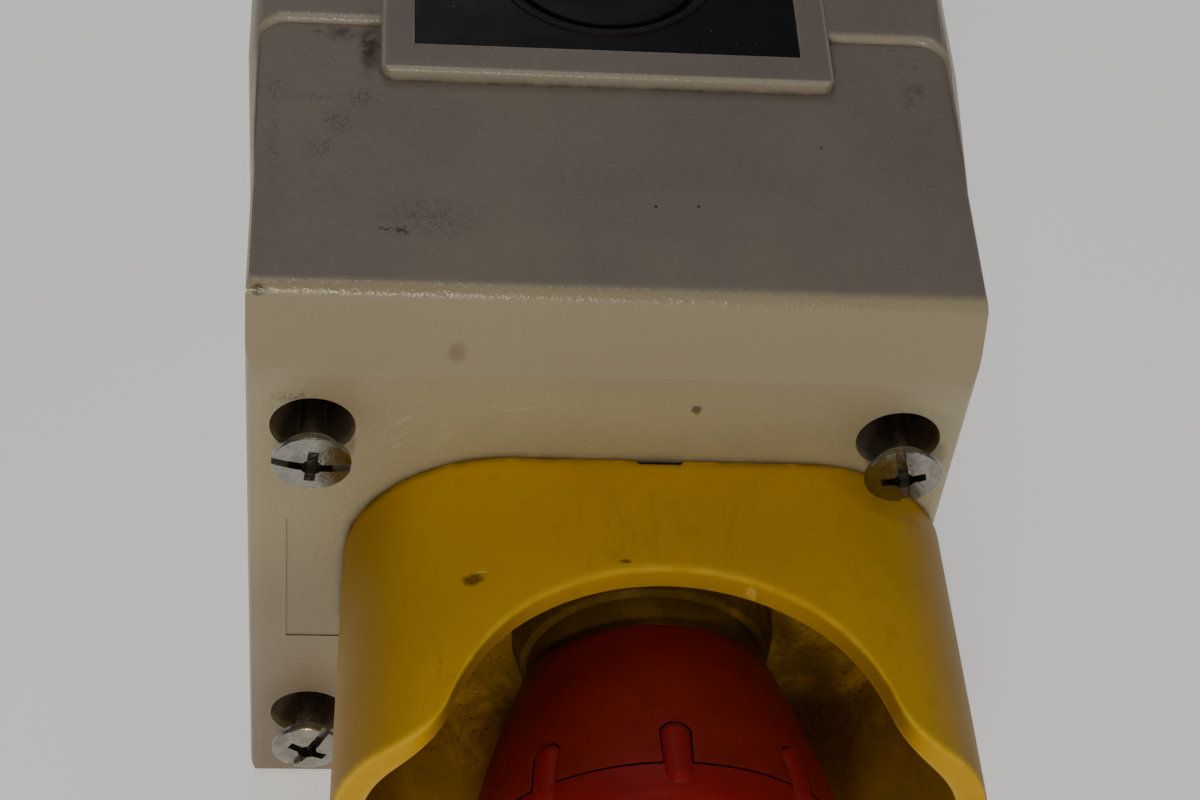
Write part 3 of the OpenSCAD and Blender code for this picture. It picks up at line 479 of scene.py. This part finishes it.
def smooth(obj, angle):
    """Shades the edges whose faces turn by less than the angle, in degrees, smooth."""
    layer = obj.data.attributes.get("custom_normal")
    if layer:
        obj.data.attributes.remove(layer)
    for poly in obj.data.polygons:
        poly.use_smooth = True
    obj.modifiers.new("smooth", "NODES").node_group = smooth_group(angle)


@functools.cache
def smooth_group(angle):
    """A geometry node group that shades edges below the angle smooth and the others sharp."""
    tree = bpy.data.node_groups.new(f"smooth_{angle:g}", "GeometryNodeTree")
    tree.interface.new_socket("Geometry", in_out="INPUT", socket_type="NodeSocketGeometry")
    tree.interface.new_socket("Geometry", in_out="OUTPUT", socket_type="NodeSocketGeometry")
    start = tree.nodes.new("NodeGroupInput")
    end = tree.nodes.new("NodeGroupOutput")
    edge = tree.nodes.new("GeometryNodeInputMeshEdgeAngle")
    less = tree.nodes.new("FunctionNodeCompare")
    less.operation = "LESS_EQUAL"
    less.inputs[1].default_value = math.radians(angle)
    tree.links.new(edge.outputs["Unsigned Angle"], less.inputs[0])
    faces = tree.nodes.new("GeometryNodeSetShadeSmooth")
    faces.domain = "FACE"
    faces.inputs["Shade Smooth"].default_value = True
    edges = tree.nodes.new("GeometryNodeSetShadeSmooth")
    edges.domain = "EDGE"
    tree.links.new(start.outputs[0], faces.inputs["Geometry"])
    tree.links.new(faces.outputs[0], edges.inputs["Geometry"])
    tree.links.new(less.outputs[0], edges.inputs["Shade Smooth"])
    tree.links.new(edges.outputs[0], end.inputs[0])
    return tree


# ---------------------------------------------------------------- pieces
def piece(name, verts, faces, node):
    """A new mesh that stands for a CAD node and rides on its body. Points are in mm, in the row frame."""
    slot = NODE_SLOT[node]
    mesh = bpy.data.meshes.new(name)
    mesh.from_pydata([[c * MM for c in v] for v in verts], [], faces)
    mesh.materials.append(SLOTS[slot])
    turned = bmesh.new()
    turned.from_mesh(mesh)
    bmesh.ops.recalc_face_normals(turned, faces=turned.faces)
    turned.to_mesh(mesh)
    turned.free()
    obj = bpy.data.objects.new(name, mesh)
    bpy.context.scene.collection.objects.link(obj)
    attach(obj, BODY_OF[node])
    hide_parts(node)
    return obj


def grid_faces(rows, columns):
    """Quads between rows of points, each row closed into a ring."""
    faces = []
    for i in range(rows - 1):
        for j in range(columns):
            k = (j + 1) % columns
            faces.append((i * columns + j, i * columns + k, (i + 1) * columns + k, (i + 1) * columns + j))
    return faces


def guard_shell():
    """The guard in the CAD guard's shape, with rounded rims. f is the distance in front of the box's face."""
    half_w, half_h, radius, wall, flare, depth, floor_t = 32.6, 21.9, 17.4, 3.2, 0.9, 33.3, 3.5
    scoop_r, low, wing_r = 23.7, 14.4, 5.7
    hole_r, recess_r, recess_f, notch_half, notch_f, fillet = 11.2, 16.2, 0.8, 2.2, 0.5, 1.3
    rim_r = 0.75
    # Steps along a corner, the long sides, the short sides and the fillet
    corner_n, long_n, short_n, fillet_n = 48, 60, 10, 4
    twist = next(j for j in frame["record"]["behaviour"]["joints"] if j["name"] == "head_twist")
    axis_x, axis_z = twist["pos_m"][0] / MM, twist["pos_m"][2] / MM
    scoop_f = low + scoop_r
    wing_x = math.sqrt((scoop_r + wing_r) ** 2 - (scoop_f - depth + wing_r) ** 2)
    meet_x = wing_x * scoop_r / (scoop_r + wing_r)

    def top(x):
        """How far the rim stands out at x: a scoop, a round wing and then the full depth."""
        x = abs(x)
        if x <= meet_x:
            return scoop_f - math.sqrt(scoop_r ** 2 - x ** 2)
        if x < wing_x:
            return depth - wing_r + math.sqrt(max(wing_r ** 2 - (x - wing_x) ** 2, 0.0))
        return depth

    # Outline as (x, z, normal x, normal z), counter-clockwise seen from the front
    cx, cz = half_w - radius, half_h - radius

    def corner(x, z, quarter):
        angles = [math.pi / 2 * (quarter + i / corner_n) for i in range(corner_n + 1)]
        return [(x, z, math.cos(a), math.sin(a)) for a in angles]

    even = (round(-cx + 2 * cx * i / long_n, 4) for i in range(1, long_n))
    along = sorted({-notch_half, notch_half, *even})
    outline = corner(cx, cz, 0) + [(x, cz, 0.0, 1.0) for x in reversed(along)]
    outline += corner(-cx, cz, 1) + [(-cx, cz - 2 * cz * i / short_n, -1.0, 0.0) for i in range(1, short_n)]
    outline += corner(-cx, -cz, 2) + [(x, -cz, 0.0, -1.0) for x in along]
    outline += corner(cx, -cz, 3) + [(cx, -cz + 2 * cz * i / short_n, 1.0, 0.0) for i in range(1, short_n)]
    count = len(outline)

    def outer(p, f):
        r = radius + flare * f / depth
        return p[0] + p[2] * r, p[1] + p[3] * r

    def inner(p, f):
        r = radius - wall + flare * (f - floor_t) / (depth + 1 - floor_t)
        return p[0] + p[2] * r, p[1] + p[3] * r

    def height(p, side):
        f = depth
        for _ in range(12):
            f = top(side(p, f)[0])
        return f

    def ring(side, heights, drop=0.0):
        return [(*side(p, f - drop), f - drop) for p, f in zip(outline, heights)]

    rows, rim, inside, soft = [], [], [], []

    def row(points, wear_and_highlight=0.0, soil_and_shade=0.0, edge=0.0):
        """Adds a row of (x, z, f) points with its wear and painted highlight, its soiling and painted shade,
        and its edge's share of the rounding.
        """
        rows.append(points)
        rim.append(wear_and_highlight)
        inside.append(soil_and_shade)
        soft.append(edge)

    outer_top = [height(p, outer) for p in outline]
    inner_top = [height(p, inner) for p in outline]
    # The hole in the floor and the gasket's recess behind it, from the hole's front edge backwards
    angles = [math.atan2(outer(p, 0)[1], outer(p, 0)[0]) for p in outline]
    for r, f, soil_and_shade, edge in ((hole_r, floor_t, 1.0, 0.3), (hole_r, recess_f, 0.0, 0.0),
                             (recess_r, recess_f, 0.0, 0.0), (recess_r, 0.0, 0.0, 0.0)):
        row([(r * math.cos(a), r * math.sin(a), f) for a in angles], soil_and_shade=soil_and_shade, edge=edge)
    # The outside, with a notch at its root
    notch = [notch_f if abs(outer(p, 0)[0]) < notch_half + 0.05 and p[3] == 1.0 else 0.0 for p in outline]
    row([(*outer(p, 0), n) for p, n in zip(outline, notch)], edge=0.2)
    for t in (0.03, 0.12, 0.24, 0.37, 0.5, 0.62, 0.73, 0.83):
        row(ring(outer, [f * t + n * (1 - t) for f, n in zip(outer_top, notch)]))
    row(ring(outer, outer_top, 2.2))
    row(ring(outer, outer_top, 1.2), wear_and_highlight=0.35)
    row(ring(outer, outer_top), wear_and_highlight=1.0, edge=1.0)
    # The rim
    for t in (0.33, 0.67):
        middle = []
        for p, fo, fi in zip(outline, outer_top, inner_top):
            a, b = outer(p, fo), inner(p, fi)
            x, z = a[0] + (b[0] - a[0]) * t, a[1] + (b[1] - a[1]) * t
            middle.append((x, z, top(x)))
        row(middle, wear_and_highlight=0.25)
    # The inside, down to a fillet and across the floor
    row(ring(inner, inner_top), wear_and_highlight=1.0, edge=1.0)
    row(ring(inner, inner_top, 1.2), wear_and_highlight=0.3, soil_and_shade=0.35)
    row(ring(inner, inner_top, 2.4), soil_and_shade=0.6)
    start = floor_t + fillet
    for t in (0.8, 0.6, 0.4, 0.2):
        row([(*inner(p, start + (f - start) * t), start + (f - 2.4 - start) * t)
             for p, f in zip(outline, inner_top)], soil_and_shade=1.0)
    for i in range(fillet_n + 1):
        a = math.pi / 2 * i / fillet_n
        reach = fillet * (1 - math.cos(a))
        points = []
        for p in outline:
            x, z = inner(p, floor_t)
            points.append((x - p[2] * reach, z - p[3] * reach, start - fillet * math.sin(a)))
        row(points, soil_and_shade=1.0)
    last = rows[-1]
    for t in (0.25, 0.5, 0.75):
        row([(q[0] + (hole_r * math.cos(a) - q[0]) * t, q[1] + (hole_r * math.sin(a) - q[1]) * t, floor_t)
             for q, a in zip(last, angles)], soil_and_shade=1.0)

    verts = [(axis_x + x, FRONT - f, axis_z + z) for points in rows for x, z, f in points]
    tail = (len(rows) - 1) * count
    closing = [(tail + j, tail + (j + 1) % count, (j + 1) % count, j) for j in range(count)]
    obj = piece("guard_shell", verts, grid_faces(len(rows), count) + closing, "guard")
    attributes = obj.data.attributes
    for name, values in (("rim", rim), ("inner", inside)):
        attributes.new(name, "FLOAT", "POINT").data.foreach_set("value", np.repeat(values, count))
    # Each long edge is rounded by its own share, and the edges from row to row aren't
    ends = np.empty(len(obj.data.edges) * 2, dtype=int)
    obj.data.edges.foreach_get("vertices", ends)
    ends = ends.reshape(-1, 2) // count
    weights = np.where(ends[:, 0] == ends[:, 1], np.array(soft)[ends[:, 0]], 0.0)
    attributes.new("bevel_weight_edge", "FLOAT", "EDGE").data.foreach_set("value", weights)
    round_edges(obj, rim_r, segments=4)
    smooth(obj, angle=45.0)


# ---------------------------------------------------------------- springs
def helix(node, wire, turns, joint=None, travel=0.0):
    """A round-wire spring along Y in the CAD spring's box, with close end turns. A spring with a joint gets a
    mesh of its own.
    """
    closed, sides, per_turn = 0.85, 10, 36
    low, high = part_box(node)
    length = (high.y - low.y) / MM
    middle = (low + high) / (2 * MM)
    radius = (high.x - low.x) / (2 * MM) - wire / 2
    steps = int(turns * per_turn)
    free = length - wire - 2 * closed * wire
    verts = []
    for i in range(steps + 1):
        turn = turns * i / steps
        ease = min(max((turn - closed) / (turns - 2 * closed), 0.0), 1.0)
        wound = min(turn, closed) + min(max(turn - (turns - closed), 0.0), closed)
        along = low.y / MM + wire / 2 + wound * wire + free * ease
        out = Vector((math.cos(2 * math.pi * turn), 0.0, math.sin(2 * math.pi * turn)))
        for j in range(sides):
            b = 2 * math.pi * j / sides
            q = out * (radius + wire / 2 * math.cos(b))
            verts.append((middle.x + q.x, along + wire / 2 * math.sin(b), middle.z + q.z))
    faces = grid_faces(steps + 1, sides)
    faces.append(tuple(range(sides - 1, -1, -1)))
    faces.append(tuple(steps * sides + j for j in range(sides)))
    obj = piece(node + "_wire", verts, faces, node)
    smooth(obj, angle=60.0)
    if joint:
        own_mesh(obj)


# Each spring's wire in mm and number of turns, and the joint that squashes it, with its travel in mm
SPRINGS = {
    "return_spring": (1.0, 7.0, "button_press", 4.4),
    "nc_spring": (0.5, 7.0, "nc_plunger_slide", 4.4),
    "no_spring": (0.5, 7.0, "no_plunger_slide", 4.4),
    "twist_spring": (0.9, 4.2),
}
# The radius, in mm, on the edges of the CAD nodes that are rounded
ROUND = {"entry_plate": 0.15, "head_skirt": 0.2, "head_cap": 0.2}

guard_shell()
for node, spring in SPRINGS.items():
    helix(node, *spring)
for node in NODES:
    if node != "guard" and node not in SPRINGS:
        dress(node, ROUND.get(node, 0.0))


# ---------------------------------------------------------------- stage
def aim(obj, target):
    obj.rotation_euler = (Vector(target) - obj.location).to_track_quat("-Z", "Y").to_euler()


def area_light(name, place, target, size, power, colour):
    data = bpy.data.lights.new(name, "AREA")
    data.shape = "DISK"
    data.size = size
    data.energy = power
    data.color = colour
    obj = bpy.data.objects.new(name, data)
    obj.location = place
    bpy.context.scene.collection.objects.link(obj)
    aim(obj, target)


def stage():
    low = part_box("base_box")[0].z
    half = 3.0
    corners = [(x * half, y * half, low) for x, y in ((-1, -1), (1, -1), (1, 1), (-1, 1))]
    mesh = bpy.data.meshes.new("floor")
    mesh.from_pydata(corners, [], [(0, 1, 2, 3)])
    mesh.materials.append(pale_floor())
    floor = bpy.data.objects.new("floor", mesh)
    bpy.context.scene.collection.objects.link(floor)
    world = bpy.data.worlds.new("studio")
    world.use_nodes = True
    back = world.node_tree.nodes["Background"]
    back.inputs[0].default_value = (0.86, 0.90, 1.0, 1.0)
    back.inputs[1].default_value = 0.13
    bpy.context.scene.world = world
    area_light("key", (-0.05, -0.38, 0.19), (0.0, -0.08, 0.01), 0.06, 0.30, (1.0, 0.91, 0.76))
    area_light("fill", (0.55, -0.55, 0.75), (0.0, -0.07, 0.0), 0.5, 0.55, (1.0, 0.97, 0.93))
    area_light("ridge", (-0.08, -0.09, 0.72), (0.0, -0.07, 0.04), 0.10, 0.32, (1.0, 0.96, 0.92))
    area_light("rear", (-0.15, 0.60, 0.70), (0.0, -0.05, 0.04), 0.40, 0.55, (1.0, 0.96, 0.92))


def camera():
    pitch, yaw, roll = (math.radians(a) for a in (49.32, 8.49, -7.89))
    ahead = Vector((math.sin(yaw) * math.cos(pitch), math.cos(yaw) * math.cos(pitch), -math.sin(pitch)))
    right = Vector((math.cos(yaw), -math.sin(yaw), 0.0))
    down = ahead.cross(right)
    across = math.cos(roll) * right + math.sin(roll) * down
    up = math.sin(roll) * right - math.cos(roll) * down
    data = bpy.data.cameras.new("camera")
    data.sensor_width = 36.0
    data.lens = 81.59
    data.clip_start = 0.01
    data.clip_end = 20.0
    obj = bpy.data.objects.new("camera", data)
    turn = Matrix((across, up, -ahead)).transposed().to_4x4()
    turn.translation = Vector((-27.89, -250.98, 238.65)) * MM
    obj.matrix_world = turn
    bpy.context.scene.collection.objects.link(obj)
    bpy.context.scene.camera = obj


stage()
camera()
